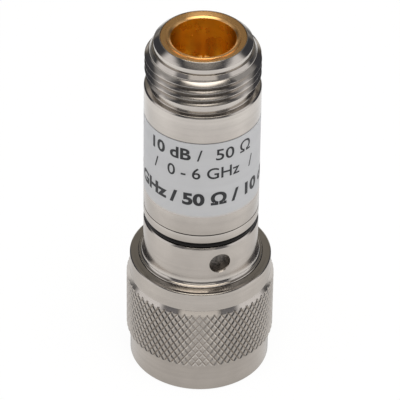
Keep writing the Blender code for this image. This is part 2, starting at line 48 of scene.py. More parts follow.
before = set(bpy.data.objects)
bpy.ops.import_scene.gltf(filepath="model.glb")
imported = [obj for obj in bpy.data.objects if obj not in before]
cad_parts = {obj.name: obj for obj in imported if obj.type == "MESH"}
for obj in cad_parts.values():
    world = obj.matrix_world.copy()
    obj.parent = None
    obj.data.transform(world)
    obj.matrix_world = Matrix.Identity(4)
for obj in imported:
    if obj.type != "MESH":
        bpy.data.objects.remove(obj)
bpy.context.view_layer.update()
MM = 0.001

# Mesh fineness
TURN_STEPS = 192
BORE_STEPS = 96
ROUND_STEPS = 3
MERGE_DISTANCE = 0.00005 * MM
SHARP_ANGLE = math.radians(28.0)
KNURL_MERGE_DISTANCE = 0.001 * MM

# Capitals of Blender's own typeface, as a share of its size
CAP_HEIGHT = 0.729

# Hole through both beads
BEAD_HOLE = 1.67 * MM

FLOOR_RADIUS = 1.2

# Material names by maker function
MATERIAL_NAMES = {}

# The photograph's camera, fitted to the object
CAMERA_DISTANCE = 520.0 * MM
CAMERA_ELEVATION = math.radians(38.46)
CAMERA_ROLL = math.radians(0.82)
CAMERA_AIM_X = -0.16 * MM
CAMERA_AIM_HEIGHT = 26.44 * MM
CAMERA_LENS = 337.7
SENSOR_WIDTH = 36.0


def low(node):
    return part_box(node)[0].z


def high(node):
    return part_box(node)[1].z


def reach(node):
    """Outer radius of a turned node."""
    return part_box(node)[1].x


def linear(code):
    """Linear colour with alpha from an sRGB hex value."""
    parts = [int(code[place : place + 2], 16) / 255 for place in (1, 3, 5)]
    bent = [part / 12.92 if part <= 0.04045 else ((part + 0.055) / 1.055) ** 2.4 for part in parts]
    return (*bent, 1.0)


class AttenuatorSizes(bpy.types.PropertyGroup):
    """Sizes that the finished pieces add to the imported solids."""

    knurl_teeth: bpy.props.IntProperty(
        name="Knurl teeth", description="Diamonds round the nut", default=64, min=12
    )
    knurl_height: bpy.props.FloatProperty(
        name="Diamond height", description="Height of one diamond of the knurl", default=1.52 * MM, unit="LENGTH"
    )
    knurl_groove: bpy.props.FloatProperty(
        name="Groove half width", description="From a groove's middle to its edge", default=0.16 * MM, unit="LENGTH"
    )
    knurl_depth: bpy.props.FloatProperty(
        name="Groove depth", description="Depth of the knurl's grooves", default=0.15 * MM, unit="LENGTH"
    )
    thread_pitch: bpy.props.FloatProperty(
        name="Thread pitch", description="Pitch of the 5/8-24 thread", default=1.058 * MM, unit="LENGTH"
    )
    thread_depth: bpy.props.FloatProperty(
        name="Thread depth", description="Crest to root of the jack's thread", default=0.65 * MM, unit="LENGTH"
    )
    thread_phase: bpy.props.FloatProperty(
        name="Thread phase", description="Height of a groove's middle at the front", default=49.07 * MM, unit="LENGTH"
    )
    spanner_hole: bpy.props.FloatProperty(
        name="Spanner hole", description="Diameter of the spanner hole", default=2.85 * MM, unit="LENGTH"
    )
    spanner_angle: bpy.props.FloatProperty(
        name="Spanner hole angle", description="From the front towards +X", default=math.radians(20.0), unit="ROTATION"
    )


class AttenuatorColours(bpy.types.PropertyGroup):
    """Colours of the finishes."""

    steel: bpy.props.FloatVectorProperty(
        name="Steel", description="Passivated stainless steel", default=linear("#C6BFB7"), size=4, subtype="COLOR"
    )
    gold: bpy.props.FloatVectorProperty(
        name="Gold", description="Gold plating", default=linear("#FFC884"), size=4, subtype="COLOR"
    )
    # Gold bore: a deeper orange copy of the gold, a painted reflection of the gold mirroring itself down the socket.
    gold_bore_painted_reflection: bpy.props.FloatVectorProperty(
        name="Gold bore", description="Gold that mirrors itself", default=linear("#FFCD42"), size=4, subtype="COLOR"
    )
    silver: bpy.props.FloatVectorProperty(
        name="Silver", description="Silver plating", default=linear("#E6E3DC"), size=4, subtype="COLOR"
    )
    label: bpy.props.FloatVectorProperty(
        name="Label", description="Silver-grey label film", default=linear("#BEBFC1"), size=4, subtype="COLOR"
    )
    ink: bpy.props.FloatVectorProperty(
        name="Ink", description="Print on the label", default=linear("#232326"), size=4, subtype="COLOR"
    )
    seal: bpy.props.FloatVectorProperty(
        name="Seal", description="Black seal ring", default=linear("#0E0B09"), size=4, subtype="COLOR"
    )
    gasket: bpy.props.FloatVectorProperty(
        name="Gasket", description="Red silicone gasket", default=linear("#9A2F22"), size=4, subtype="COLOR"
    )
    bead: bpy.props.FloatVectorProperty(
        name="Bead", description="White insulating bead", default=linear("#EDEAE2"), size=4, subtype="COLOR"
    )
    ceramic: bpy.props.FloatVectorProperty(
        name="Ceramic", description="Alumina card", default=linear("#F1F0EC"), size=4, subtype="COLOR"
    )
    floor: bpy.props.FloatVectorProperty(
        name="Floor", description="Pale studio floor", default=linear("#F4F4F4"), size=4, subtype="COLOR"
    )


def sizes():
    return bpy.context.scene.attenuator_sizes


def colours():
    return bpy.context.scene.attenuator_colours


# Node helper and materials


def add_node(tree, kind, settings=None, values=None, links=None):
    """Node with its settings, socket values and links, each from a socket or a node's first output."""
    made = tree.nodes.new(kind)
    for name, value in (settings or {}).items():
        setattr(made, name, value)
    for socket, value in (values or {}).items():
        made.inputs[socket].default_value = value
    for socket, source in (links or {}).items():
        if isinstance(source, bpy.types.Node):
            source = source.outputs[0]
        tree.links.new(source, made.inputs[socket])
    return made


def new_material(name):
    """Empty node material."""
    made = bpy.data.materials.new(name)
    made.use_nodes = True
    made.node_tree.nodes.clear()
    return made


def shade(colour, factor):
    return (*[part * factor for part in colour[:3]], 1.0)


def object_point(tree):
    """Object coordinates through a Mapping node."""
    place = add_node(tree, "ShaderNodeTexCoord")
    return add_node(tree, "ShaderNodeMapping", links={"Vector": place.outputs["Object"]})


def lathe_point(tree, point, drift):
    """(radius, drift of x, height with drift of y), which stays level round a turned surface."""
    parts = add_node(tree, "ShaderNodeSeparateXYZ", links={"Vector": point})
    flat = add_node(tree, "ShaderNodeVectorMath", {"operation": "MULTIPLY"}, {1: (1.0, 1.0, 0.0)}, {0: point})
    radius = add_node(tree, "ShaderNodeVectorMath", {"operation": "LENGTH"}, links={0: flat})
    slow_x = add_node(tree, "ShaderNodeMath", {"operation": "MULTIPLY"}, {1: drift}, {0: parts.outputs["X"]})
    slow_y = add_node(
        tree,
        "ShaderNodeMath",
        {"operation": "MULTIPLY_ADD"},
        {1: drift},
        {0: parts.outputs["Y"], 2: parts.outputs["Z"]},
    )
    return add_node(
        tree, "ShaderNodeCombineXYZ", links={"X": radius.outputs["Value"], "Y": slow_x, "Z": slow_y}
    )


def turned_metal(name, colour, roughness, line_depth, tint):
    """Metal cut on a lathe: level tool lines, a soft mottle and gloss that spreads across the lines."""
    made = new_material(name)
    tree = made.node_tree
    point = object_point(tree)
    level = lathe_point(tree, point, 0.02)
    lines = add_node(
        tree, "ShaderNodeTexNoise", None, {"Scale": 1 / (0.11 * MM), "Detail": 3.0, "Roughness": 0.6}, {"Vector": level}
    )
    bands = add_node(tree, "ShaderNodeTexNoise", None, {"Scale": 1 / (0.9 * MM), "Detail": 2.0}, {"Vector": level})
    mottle = add_node(tree, "ShaderNodeTexNoise", None, {"Scale": 1 / (2.4 * MM), "Detail": 3.0}, {"Vector": point})
    both = add_node(tree, "ShaderNodeMath", {"operation": "ADD"}, links={0: bands, 1: mottle})
    share = add_node(tree, "ShaderNodeMapRange", None, {"From Min": 0.75, "From Max": 1.25}, {"Value": both})
    base = add_node(
        tree, "ShaderNodeMix", {"data_type": "RGBA"}, {6: shade(colour, tint), 7: colour}, {"Factor": share}
    )
    rough = add_node(
        tree,
        "ShaderNodeMapRange",
        None,
        {"From Min": 0.3, "From Max": 0.7, "To Min": roughness - 0.03, "To Max": roughness + 0.04},
        {"Value": mottle},
    )
    relief = add_node(tree, "ShaderNodeBump", None, {"Strength": 1.0, "Distance": line_depth}, {"Height": lines})
    around = add_node(tree, "ShaderNodeTangent", {"direction_type": "RADIAL", "axis": "Z"})
    shader = add_node(
        tree,
        "ShaderNodeBsdfPrincipled",
        None,
        {"Metallic": 1.0, "Anisotropic": 0.8, "Anisotropic Rotation": 0.25},
        {"Base Color": base.outputs[2], "Roughness": rough, "Normal": relief, "Tangent": around},
    )
    add_node(tree, "ShaderNodeOutputMaterial", links={"Surface": shader})
    return made


def stainless_steel():
    """Passivated stainless steel turned fine: warm grey, satin, with faint level tool lines."""
    return turned_metal("turned_stainless_steel", colours().steel, 0.14, 0.0012 * MM, 0.9)


def gold_plating():
    """Gold over a turned copper alloy: pale yellow face on, deep orange where it mirrors itself."""
    return turned_metal("gold_plated_brass", colours().gold, 0.27, 0.0004 * MM, 0.97)


def gold_bore_painted_reflection():
    """The gold down the socket, coloured a deeper orange as a painted reflection of the gold mirroring itself over and
    over.
    """
    return turned_metal("gold_plated_bore_painted_reflection", colours().gold_bore_painted_reflection, 0.27, 0.0003 * MM, 0.9)


def silver_plating():
    """Silver over brass: bright white metal with the faint lines of the lathe."""
    return turned_metal("silver_plated_brass", colours().silver, 0.24, 0.0008 * MM, 0.95)


def grained(name, colour, roughness, grain_size, grain_depth, dark, cloud_size, constants=None):
    """Surface with a fine grain in its gloss and relief and slow clouds in its colour."""
    made = new_material(name)
    tree = made.node_tree
    point = object_point(tree)
    grain = add_node(tree, "ShaderNodeTexNoise", None, {"Scale": 1 / grain_size, "Detail": 3.0}, {"Vector": point})
    cloud = add_node(tree, "ShaderNodeTexNoise", None, {"Scale": 1 / cloud_size, "Detail": 2.0}, {"Vector": point})
    share = add_node(tree, "ShaderNodeMapRange", None, {"From Min": 0.35, "From Max": 0.65}, {"Value": cloud})
    base = add_node(
        tree, "ShaderNodeMix", {"data_type": "RGBA"}, {6: shade(colour, dark), 7: colour}, {"Factor": share}
    )
    rough = add_node(
        tree,
        "ShaderNodeMapRange",
        None,
        {"From Min": 0.3, "From Max": 0.7, "To Min": roughness - 0.05, "To Max": roughness + 0.05},
        {"Value": grain},
    )
    relief = add_node(tree, "ShaderNodeBump", None, {"Strength": 1.0, "Distance": grain_depth}, {"Height": grain})
    shader = add_node(
        tree,
        "ShaderNodeBsdfPrincipled",
        None,
        constants,
        {"Base Color": base.outputs[2], "Roughness": rough, "Normal": relief},
    )
    add_node(tree, "ShaderNodeOutputMaterial", links={"Surface": shader})
    return made


def knurled_steel():
    """The same steel pressed by a knurling wheel: a little rougher, without tool lines."""
    colour = shade(colours().steel, 0.95)
    return grained(
        "knurled_stainless_steel", colour, 0.17, 0.12 * MM, 0.0006 * MM, 0.88, 1.4 * MM, {"Metallic": 1.0}
    )


def drilled_steel_painted_shade():
    """The floor of a drilled hole: rough, torn metal, its colour darkened to half the steel's as painted shade in the
    hole.
    """
    # Painted shade: half the steel's colour, with darker clouds, for the dim floor of the hole.
    colour = shade(colours().steel, 0.5)
    return grained(
        "drilled_stainless_steel_painted_shade", colour, 0.5, 0.22 * MM, 0.03 * MM, 0.45, 0.35 * MM, {"Metallic": 1.0}
    )


def seal_rubber():
    """Moulded fluorocarbon rubber: near black with a dull grease shine."""
    dull = {"Specular IOR Level": 0.2}
    return grained("black_fluorocarbon_rubber", colours().seal, 0.5, 0.1 * MM, 0.002 * MM, 0.85, 0.9 * MM, dull)


def gasket_rubber():
    """Moulded silicone rubber: brick red and matt."""
    return grained("red_silicone_rubber", colours().gasket, 0.5, 0.15 * MM, 0.002 * MM, 0.88, 1.3 * MM)


def bead_plastic():
    """Machined insulating plastic: milky white, slightly waxy."""
    return grained(
        "white_bead_plastic", colours().bead, 0.4, 0.12 * MM, 0.001 * MM, 0.96, 1.0 * MM, {"IOR": 1.45}
    )


def alumina():
    """Fired and lapped alumina: chalk white with a fine sugar grain."""
    return grained("alumina_ceramic", colours().ceramic, 0.5, 0.08 * MM, 0.002 * MM, 0.95, 0.7 * MM, {"IOR": 1.76})


def print_ink():
    """Thermal transfer ink: black and slightly satin, a touch uneven in its solid areas."""
    return grained("black_transfer_ink", colours().ink, 0.5, 0.08 * MM, 0.0005 * MM, 0.75, 0.5 * MM)


def label_film():
    """Satin polyester film over metal: cool silver grey, and thin at its lower edge so the steel shows."""
    made = new_material("satin_polyester_film")
    tree = made.node_tree
    point = object_point(tree)
    grain = add_node(tree, "ShaderNodeTexNoise", None, {"Scale": 1 / (0.09 * MM), "Detail": 3.0}, {"Vector": point})
    level = lathe_point(tree, point, 0.05)
    bands = add_node(tree, "ShaderNodeTexNoise", None, {"Scale": 1 / (1.2 * MM), "Detail": 3.0}, {"Vector": level})
    share = add_node(tree, "ShaderNodeMapRange", None, {"From Min": 0.35, "From Max": 0.65}, {"Value": bands})
    film = add_node(
        tree,
        "ShaderNodeMix",
        {"data_type": "RGBA"},
        {6: shade(colours().label, 0.96), 7: colours().label},
        {"Factor": share},
    )
    height = add_node(tree, "ShaderNodeSeparateXYZ", links={"Vector": point})
    bare = add_node(
        tree,
        "ShaderNodeMapRange",
        {"interpolation_type": "SMOOTHSTEP"},
        {"From Min": low("label_film") + 0.6 * MM, "From Max": low("label_film")},
        {"Value": height.outputs["Z"]},
    )
    base = add_node(
        tree, "ShaderNodeMix", {"data_type": "RGBA"}, {7: colours().steel}, {"Factor": bare, 6: film.outputs[2]}
    )
    metal = add_node(tree, "ShaderNodeMapRange", None, {"To Min": 0.1, "To Max": 1.0}, {"Value": bare})
    rough = add_node(tree, "ShaderNodeMapRange", None, {"To Min": 0.36, "To Max": 0.26}, {"Value": bare})
    relief = add_node(tree, "ShaderNodeBump", None, {"Strength": 1.0, "Distance": 0.0006 * MM}, {"Height": grain})
    shader = add_node(
        tree,
        "ShaderNodeBsdfPrincipled",
        links={"Base Color": base.outputs[2], "Metallic": metal, "Roughness": rough, "Normal": relief},
    )
    add_node(tree, "ShaderNodeOutputMaterial", links={"Surface": shader})
    return made


# Modelling helpers


def put(name, data):
    """Object of a mesh, text, lamp or camera, linked to the scene."""
    made = bpy.data.objects.new(name, data)
    bpy.context.scene.collection.objects.link(made)
    return made


def keep(form, name):
    """Object at the origin from a bmesh, shaded smooth with its sharp edges kept."""
    bmesh.ops.recalc_face_normals(form, faces=form.faces)
    mesh = bpy.data.meshes.new(name)
    form.to_mesh(mesh)
    form.free()
    mesh.shade_smooth()
    mesh.set_sharp_from_angle(angle=SHARP_ANGLE)
    return put(name, mesh)


def spun(outline, steps=TURN_STEPS, rounding_steps=ROUND_STEPS):
    """bmesh of an outline of (radius, height, rounding) points, turned once round the Z axis."""
    form = bmesh.new()
    corners = [form.verts.new((point[0], 0.0, point[1])) for point in outline]
    for pair in zip(corners, corners[1:]):
        form.edges.new(pair)
    if outline[0][0] > 0.0:
        form.edges.new((corners[-1], corners[0]))
    for corner, point in zip(corners, outline):
        if len(point) > 2:
            bmesh.ops.bevel(
                form,
                geom=[corner],
                offset=point[2],
                segments=rounding_steps,
                profile=0.5,
                affect="VERTICES",
                material=-1,
            )
    bmesh.ops.spin(
        form,
        geom=form.verts[:] + form.edges[:],
        axis=(0.0, 0.0, 1.0),
        angle=math.tau,
        steps=steps,
        use_merge=True,
    )
    bmesh.ops.remove_doubles(form, verts=form.verts, dist=MERGE_DISTANCE)
    bmesh.ops.recalc_face_normals(form, faces=form.faces)
    return form


def turned(name, outline, steps=TURN_STEPS):
    return keep(spun(outline, steps), name)


def carve(piece, tool, operation="DIFFERENCE"):
    """Boolean of piece and tool, applied, with the tool removed."""
    trim = piece.modifiers.new("carve", "BOOLEAN")
    trim.operation = operation
    trim.solver = "EXACT"
    trim.object = tool
    bpy.context.view_layer.update()
    shaped = piece.evaluated_get(bpy.context.evaluated_depsgraph_get())
    mesh = bpy.data.meshes.new_from_object(shaped)
    if not mesh.polygons:
        raise RuntimeError(f"the cut of {piece.name} left nothing")
    piece.modifiers.clear()
    piece.data = mesh
    mesh.shade_smooth()
    mesh.set_sharp_from_angle(angle=SHARP_ANGLE)
    bpy.data.objects.remove(tool, do_unlink=True)
    return piece


def dress(piece, body, slot, *materials, stands_for=()):
    """Gives a piece its materials and body and hides the nodes it stands for; the slot is not used."""
    piece.data.materials.clear()
    for material in materials:
        piece.data.materials.append(material)
    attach(piece, body)
    if stands_for:
        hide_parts(*stands_for)
    return piece


def material(maker):
    """Material of a maker function, made once."""
    made = bpy.data.materials.get(MATERIAL_NAMES.get(maker.__name__, ""))
    if made is None:
        made = maker()
        MATERIAL_NAMES[maker.__name__] = made.name
    return made


def helix_cutter(name, section, start, pitch, turns, steps):
    """Groove of a section of (radius, height) points, wound upwards to the right from the front."""
    form = bmesh.new()
    corners = [form.verts.new((0.0, -radius, start + height)) for radius, height in section]
    face = form.faces.new(corners)
    bmesh.ops.spin(
        form,
        geom=corners + list(face.edges) + [face],
        axis=(0.0, 0.0, 1.0),
        angle=math.tau * turns,
        steps=steps * turns,
        dvec=(0.0, 0.0, pitch / steps),
    )
    return keep(form, name)


def knurl_tool(name, radius, bottom, top):
    """Cylinder covered in flat-topped diamonds, from one diamond that is inset, stacked and spun."""
    look = sizes()
    half_tooth = math.pi / look.knurl_teeth
    half_height = look.knurl_height / 2
    root = radius - look.knurl_depth
    rows = math.ceil((top - bottom) / look.knurl_height) + 1
    form = bmesh.new()
    for shift, turn in ((0.0, 0.0), (half_height, half_tooth)):
        corners = []
        for angle, height in ((-half_tooth, 0.0), (0.0, -half_height), (half_tooth, 0.0), (0.0, half_height)):
            place = Vector((root * math.sin(angle + turn), -root * math.cos(angle + turn), bottom + shift + height))
            corners.append(form.verts.new(place))
        form.faces.new(corners)
    form.normal_update()
    bmesh.ops.inset_individual(
        form, faces=form.faces[:], thickness=look.knurl_groove, depth=look.knurl_depth, use_even_offset=True
    )
    diamond = form.faces[:] + form.edges[:] + form.verts[:]
    for row in range(1, rows):
        copy = bmesh.ops.duplicate(form, geom=diamond)["geom"]
        moved = [item for item in copy if isinstance(item, bmesh.types.BMVert)]
        bmesh.ops.translate(form, verts=moved, vec=(0.0, 0.0, row * look.knurl_height))
    bmesh.ops.spin(
        form,
        geom=form.faces[:] + form.edges[:] + form.verts[:],
        axis=(0.0, 0.0, 1.0),
        angle=math.tau,
        steps=look.knurl_teeth,
        use_duplicate=True,
    )
    bmesh.ops.remove_doubles(form, verts=form.verts, dist=KNURL_MERGE_DISTANCE)
    for height, side in ((bottom + half_height, -1.0), (top, 1.0)):
        bmesh.ops.bisect_plane(
            form,
            geom=form.faces[:] + form.edges[:] + form.verts[:],
            plane_co=(0.0, 0.0, height),
            plane_no=(0.0, 0.0, side),
            clear_outer=True,
        )
        rim = [edge for edge in form.edges if len(edge.link_faces) == 1]
        level = [edge for edge in rim if all(abs(vert.co.z - height) < KNURL_MERGE_DISTANCE for vert in edge.verts)]
        bmesh.ops.edgeloop_fill(form, edges=level)
    return keep(form, name)


# Pieces


class ATTENUATOR_OT_nut(bpy.types.Operator):
    """Knurled coupling nut, with its lip, chamber and a plain bore where the inner thread goes"""

    bl_idname = "attenuator.nut"
    bl_label = "Coupling nut"

    def execute(self, context):
        look = sizes()
        top = high("coupling_nut")
        crown = reach("coupling_nut")
        recess = reach("plug_body") + 0.06 * MM
        rim = recess + 1.19 * MM
        skirt = rim - 0.1 * MM
        blank = crown + 0.15 * MM
        knurl_top = 14.2 * MM
        knurl_bottom = 4.9 * MM
        lip = 7.25 * MM
        lip_bottom = 14.2 * MM
        lip_top = 16.9 * MM
        chamber = 8.5 * MM
        thread_bore = 7.35 * MM
        mouth = 8.2 * MM
        outline = [
            (blank, knurl_top - 0.46 * MM),
            (rim, knurl_top + 0.42 * MM, 0.03 * MM),
            (rim, top - 0.12 * MM, 0.04 * MM),
            (rim - 0.16 * MM, top, 0.02 * MM),
            (rim - 0.54 * MM, top, 0.03 * MM),
            (recess, top + 0.2 * MM, 0.04 * MM),
            (recess, lip_top),
            (lip, lip_top),
            (lip, lip_bottom),
            (chamber, lip_bottom),
            (chamber, 10.5 * MM),
            (thread_bore, 9.4 * MM),
            (thread_bore, 2.55 * MM),
            (mouth, 1.7 * MM),
            (mouth, 0.0, 0.05 * MM),
            (skirt - 0.2 * MM, 0.0, 0.05 * MM),
            (skirt, 0.2 * MM, 0.05 * MM),
            (skirt, knurl_bottom - 0.45 * MM, 0.05 * MM),
            (blank, knurl_bottom + 0.12 * MM),
        ]
        nut = turned("nut_knurled", outline)
        carve(nut, knurl_tool("knurl_tool", crown, -2.0 * MM, top + 1.0 * MM), "INTERSECT")
        for face in nut.data.polygons:
            middle = face.center
            away = math.hypot(middle.x, middle.y)
            cut = knurl_bottom - 0.5 * MM < middle.z < knurl_top + 0.42 * MM and away > rim + 0.01 * MM
            face.material_index = 1 if cut and abs(face.normal.z) < 0.5 else 0
        indices = [face.material_index for face in nut.data.polygons]
        dress(nut, "nut", "steel", material(stainless_steel), material(knurled_steel), stands_for=["coupling_nut"])
        nut.data.polygons.foreach_set("material_index", indices)
        return {"FINISHED"}


class ATTENUATOR_OT_plug_body(bpy.types.Operator):
    """Turned plug body with its foot flange and spanner hole"""

    bl_idname = "attenuator.plug_body"
    bl_label = "Plug body"

    def execute(self, context):
        look = sizes()
        barrel = reach("spacer_ring")
        flange = reach("plug_body")
        foot = 17.87 * MM
        flare = []
        flare_steps = 8
        for step in range(flare_steps + 1):
            turn = math.radians(90.0 * step / flare_steps)
            flare.append((barrel + 0.45 * MM * (1 - math.cos(turn)), foot + 1.1 * MM * (1 - math.sin(turn))))
        top = low("seal_ring") - 0.3 * MM
        spigot = barrel - 1.15 * MM
        bore = 5.65 * MM
        neck = 7.0 * MM
        flange_bottom = 17.15 * MM
        ring_groove = 6.5 * MM
        ring_top, ring_bottom = 14.1 * MM, 13.0 * MM
        gasket_seat = 6.55 * MM
        outline = [
            (bore, high("plug_body")),
            (spigot, high("plug_body")),
            (spigot, top),
            (barrel - 0.22 * MM, top + 0.01 * MM, 0.08 * MM),
            (barrel, top - 0.24 * MM, 0.03 * MM),
            *flare,
            (flange, foot, 0.12 * MM),
            (flange, flange_bottom),
            (neck, flange_bottom),
            (neck, ring_top),
            (ring_groove, ring_top),
            (ring_groove, ring_bottom),
            (neck, ring_bottom),
            (neck, 10.7 * MM, 0.05 * MM),
            (gasket_seat, 10.7 * MM, 0.05 * MM),
            (gasket_seat, 12.25 * MM),
            (bore, 12.25 * MM),
        ]
        body = keep(spun(outline, rounding_steps=6), "plug_body_turned")
        radius = look.spanner_hole / 2
        depth = 1.3 * MM
        sink = 0.36 * MM
        drill_outline = [
            (0.0, -depth),
            (radius, -depth),
            (radius, -sink, 0.1 * MM),
            (radius + 0.9 * sink, sink),
            (0.0, sink),
        ]
        drill = turned("spanner_drill", drill_outline, 64)
        height = foot + 3.43 * MM
        turn = Matrix.Rotation(look.spanner_angle, 4, "Z") @ Matrix.Rotation(math.radians(90.0), 4, "X")
        place = Matrix.Translation((0.0, 0.0, height)) @ turn @ Matrix.Translation((0.0, 0.0, barrel))
        drill.data.transform(place)
        carve(body, drill)
        away = turn.to_3x3() @ Vector((0.0, 0.0, 1.0))
        axis_point = Vector((0.0, 0.0, height))
        # Faces of the hole's floor take the steel with the painted shade.
        indices = []
        for face in body.data.polygons:
            along = (face.center - axis_point).dot(away)
            off = (face.center - axis_point - away * along).length
            inside = off < radius * 1.001 and barrel - depth - 0.01 * MM < along < barrel - 0.2 * MM
            indices.append(1 if inside and abs(face.normal.dot(away)) > 0.9 else 0)
        dress(body, "body", "steel", material(stainless_steel), material(drilled_steel_painted_shade), stands_for=["plug_body"])
        body.data.polygons.foreach_set("material_index", indices)
        return {"FINISHED"}


class ATTENUATOR_OT_seal_and_sleeve(bpy.types.Operator):
    """O-ring, spacer ring and the sleeve with the label's seat"""

    bl_idname = "attenuator.seal_and_sleeve"
    bl_label = "Seal, spacer and sleeve"

    def execute(self, context):
        barrel = reach("spacer_ring")
        middle = (low("seal_ring") + high("seal_ring")) / 2 - 0.18 * MM
        section = (high("seal_ring") - low("seal_ring")) / 2 + 0.05 * MM
        centre = reach("seal_ring") - section
        steps = 20
        turns = [math.pi / 2 - math.tau * step / steps for step in range(steps)]
        outline = [(centre + section * math.cos(turn), middle + section * math.sin(turn)) for turn in turns]
        seal = turned("seal_ring_moulded", outline)
        dress(seal, "body", "seal", material(seal_rubber), stands_for=["seal_ring"])

        bore = barrel - 1.0 * MM
        edge = 0.06 * MM
        outline = [
            (bore, high("spacer_ring")),
            (barrel, high("spacer_ring"), edge),
            (barrel, low("spacer_ring") - 0.15 * MM, edge),
            (bore, low("spacer_ring") - 0.15 * MM),
        ]
        spacer = turned("spacer_ring_turned", outline)
        dress(spacer, "body", "steel", material(stainless_steel), stands_for=["spacer_ring"])

        seat = barrel - 0.2 * MM
        seat_bottom = low("label_film")
        outline = [
            (bore, high("sleeve")),
            (seat, high("sleeve")),
            (seat, seat_bottom),
            (barrel, seat_bottom),
            (barrel, low("sleeve"), edge),
            (bore, low("sleeve")),
        ]
        sleeve = turned("sleeve_turned", outline)
        dress(sleeve, "body", "steel", material(stainless_steel), stands_for=["sleeve"])
        return {"FINISHED"}


def wrapped_text(name, words, height, turn, row, weight=0.0, stretch=1.0):
    """Line of print laid on the label, centred on an angle from the front."""
    radius = reach("label_film") + 0.008 * MM
    line = bpy.data.curves.new(name, "FONT")
    line.body = words
    line.size = 1.0
    line.align_x = "CENTER"
    line.offset = weight
    line.resolution_u = 6
    writer = put(name, line)
    bpy.context.view_layer.update()
    flat = bpy.data.meshes.new_from_object(writer.evaluated_get(bpy.context.evaluated_depsgraph_get()))
    bpy.data.objects.remove(writer, do_unlink=True)
    form = bmesh.new()
    form.from_mesh(flat)
    bpy.data.meshes.remove(flat)
    scale = height / CAP_HEIGHT
    bmesh.ops.scale(form, vec=(scale * stretch, scale, 1.0), verts=form.verts)
    wide = max(vert.co.x for vert in form.verts)
    step = 0.2 * MM
    cuts = int(2 * wide / step)
    for cut in range(1, cuts):
        bmesh.ops.bisect_plane(
            form,
            geom=form.faces[:] + form.edges[:] + form.verts[:],
            plane_co=(-wide + cut * step, 0.0, 0.0),
            plane_no=(1.0, 0.0, 0.0),
        )
    for vert in form.verts:
        angle = turn + vert.co.x / radius
        vert.co = (radius * math.sin(angle), -radius * math.cos(angle), row - height / 2 + vert.co.y)
    form.normal_update()
    inward = [face for face in form.faces if face.normal.xy.dot(face.calc_center_median().xy) < 0.0]
    bmesh.ops.reverse_faces(form, faces=inward)
    mesh = bpy.data.meshes.new(name)
    form.to_mesh(mesh)
    form.free()
    mesh.shade_smooth()
    return dress(put(name, mesh), "body", "label", material(print_ink))


class ATTENUATOR_OT_label(bpy.types.Operator):
    """Label film with three rows of plain ratings"""

    bl_idname = "attenuator.label"
    bl_label = "Label"

    def execute(self, context):
        outer = reach("label_film")
        inner = outer - 0.12 * MM
        outline = [
            (inner, high("label_film")),
            (outer, high("label_film")),
            (outer, low("label_film")),
            (inner, low("label_film")),
        ]
        film = turned("label_film_wrapped", outline)
        dress(film, "body", "label", material(label_film), stands_for=["label_film"])
        first, second, third = 40.4 * MM, 37.3 * MM, 32.85 * MM
        rows = (
            ("print_loss", "10 dB", 1.9 * MM, -35.0, first, 0.03, 1.1),
            ("print_slash_upper", "/", 1.9 * MM, -2.0, first, 0.012, 1.0),
            ("print_line", "50 Ω", 1.9 * MM, 34.0, first, 0.012, 1.1),
            ("print_slash_left", "/", 1.9 * MM, -50.0, second, 0.012, 1.0),
            ("print_band", "0 - 6 GHz", 1.9 * MM, 2.0, second, 0.012, 1.0),
            ("print_slash_right", "/", 1.9 * MM, 55.0, second, 0.012, 1.0),
            ("print_power", "6 GHz / 50 Ω / 10 dB", 1.95 * MM, 0.0, third, 0.045, 1.15),
        )
        for name, words, height, turn, row, weight, stretch in rows:
            wrapped_text(name, words, height, math.radians(turn), row, weight, stretch)
        return {"FINISHED"}


class ATTENUATOR_OT_jack_shell(bpy.types.Operator):
    """Collar, relief, right-hand thread and nose of the jack"""

    bl_idname = "attenuator.jack_shell"
    bl_label = "Jack shell"

    def execute(self, context):
        look = sizes()
        collar = reach("jack_shell")
        top = high("jack_shell")
        shoulder = top - 7.74 * MM
        crest = collar - 0.08 * MM
        root = crest - look.thread_depth
        relief = root - 0.17 * MM
        bore = 5.65 * MM
        rim = bore + 0.3 * MM
        cone = rim + 0.8 * MM
        lead_top = top - 1.49 * MM
        neck = root + 0.02 * MM
        seam = high("sleeve") + 0.12 * MM
        spigot = collar - 1.15 * MM
        outline = [
            (bore, top - 0.35 * MM),
            (bore + 0.22 * MM, top - 0.1 * MM),
            (bore + 0.22 * MM, top, 0.02 * MM),
            (rim + 0.03 * MM, top, 0.04 * MM),
            (rim + 0.45 * MM, top - 0.385 * MM, 0.06 * MM),
            (cone, top - 0.71 * MM, 0.03 * MM),
            (cone, lead_top),
            (cone + 0.22 * MM, lead_top, 0.03 * MM),
            (neck, lead_top - 0.55 * MM, 0.05 * MM),
            (neck, lead_top - 0.72 * MM),
            (crest, lead_top - 1.12 * MM),
            (crest, shoulder + 1.79 * MM),
            (relief, shoulder + 1.39 * MM),
            (relief, shoulder, 0.15 * MM),
            (collar - 0.2 * MM, shoulder, 0.05 * MM),
            (collar, shoulder - 0.2 * MM, 0.06 * MM),
            (collar, seam, 0.05 * MM),
            (spigot, seam),
            (spigot, low("jack_shell")),
            (bore, low("jack_shell")),
        ]
        shell = keep(spun(outline, rounding_steps=6), "jack_shell_threaded")
        flank = math.radians(32.0)
        half_root = 0.085 * MM
        half_crest = half_root + look.thread_depth * math.tan(flank)
        soft = 0.05 * MM
        side = [
            (root, half_root - soft),
            (root + soft * 0.6, half_root + soft * 0.4),
            (crest - soft, half_crest - soft * 0.6),
            (crest, half_crest + soft * 0.5),
            (crest + 0.12 * MM, half_crest + soft * 0.5),
        ]
        section = side + [(radius, -height) for radius, height in reversed(side)]
        start = look.thread_phase - look.thread_pitch
        groove = helix_cutter("thread_groove", section, start, look.thread_pitch, 5, TURN_STEPS)
        carve(shell, groove)
        dress(shell, "body", "steel", material(stainless_steel), stands_for=["jack_shell"])
        return {"FINISHED"}


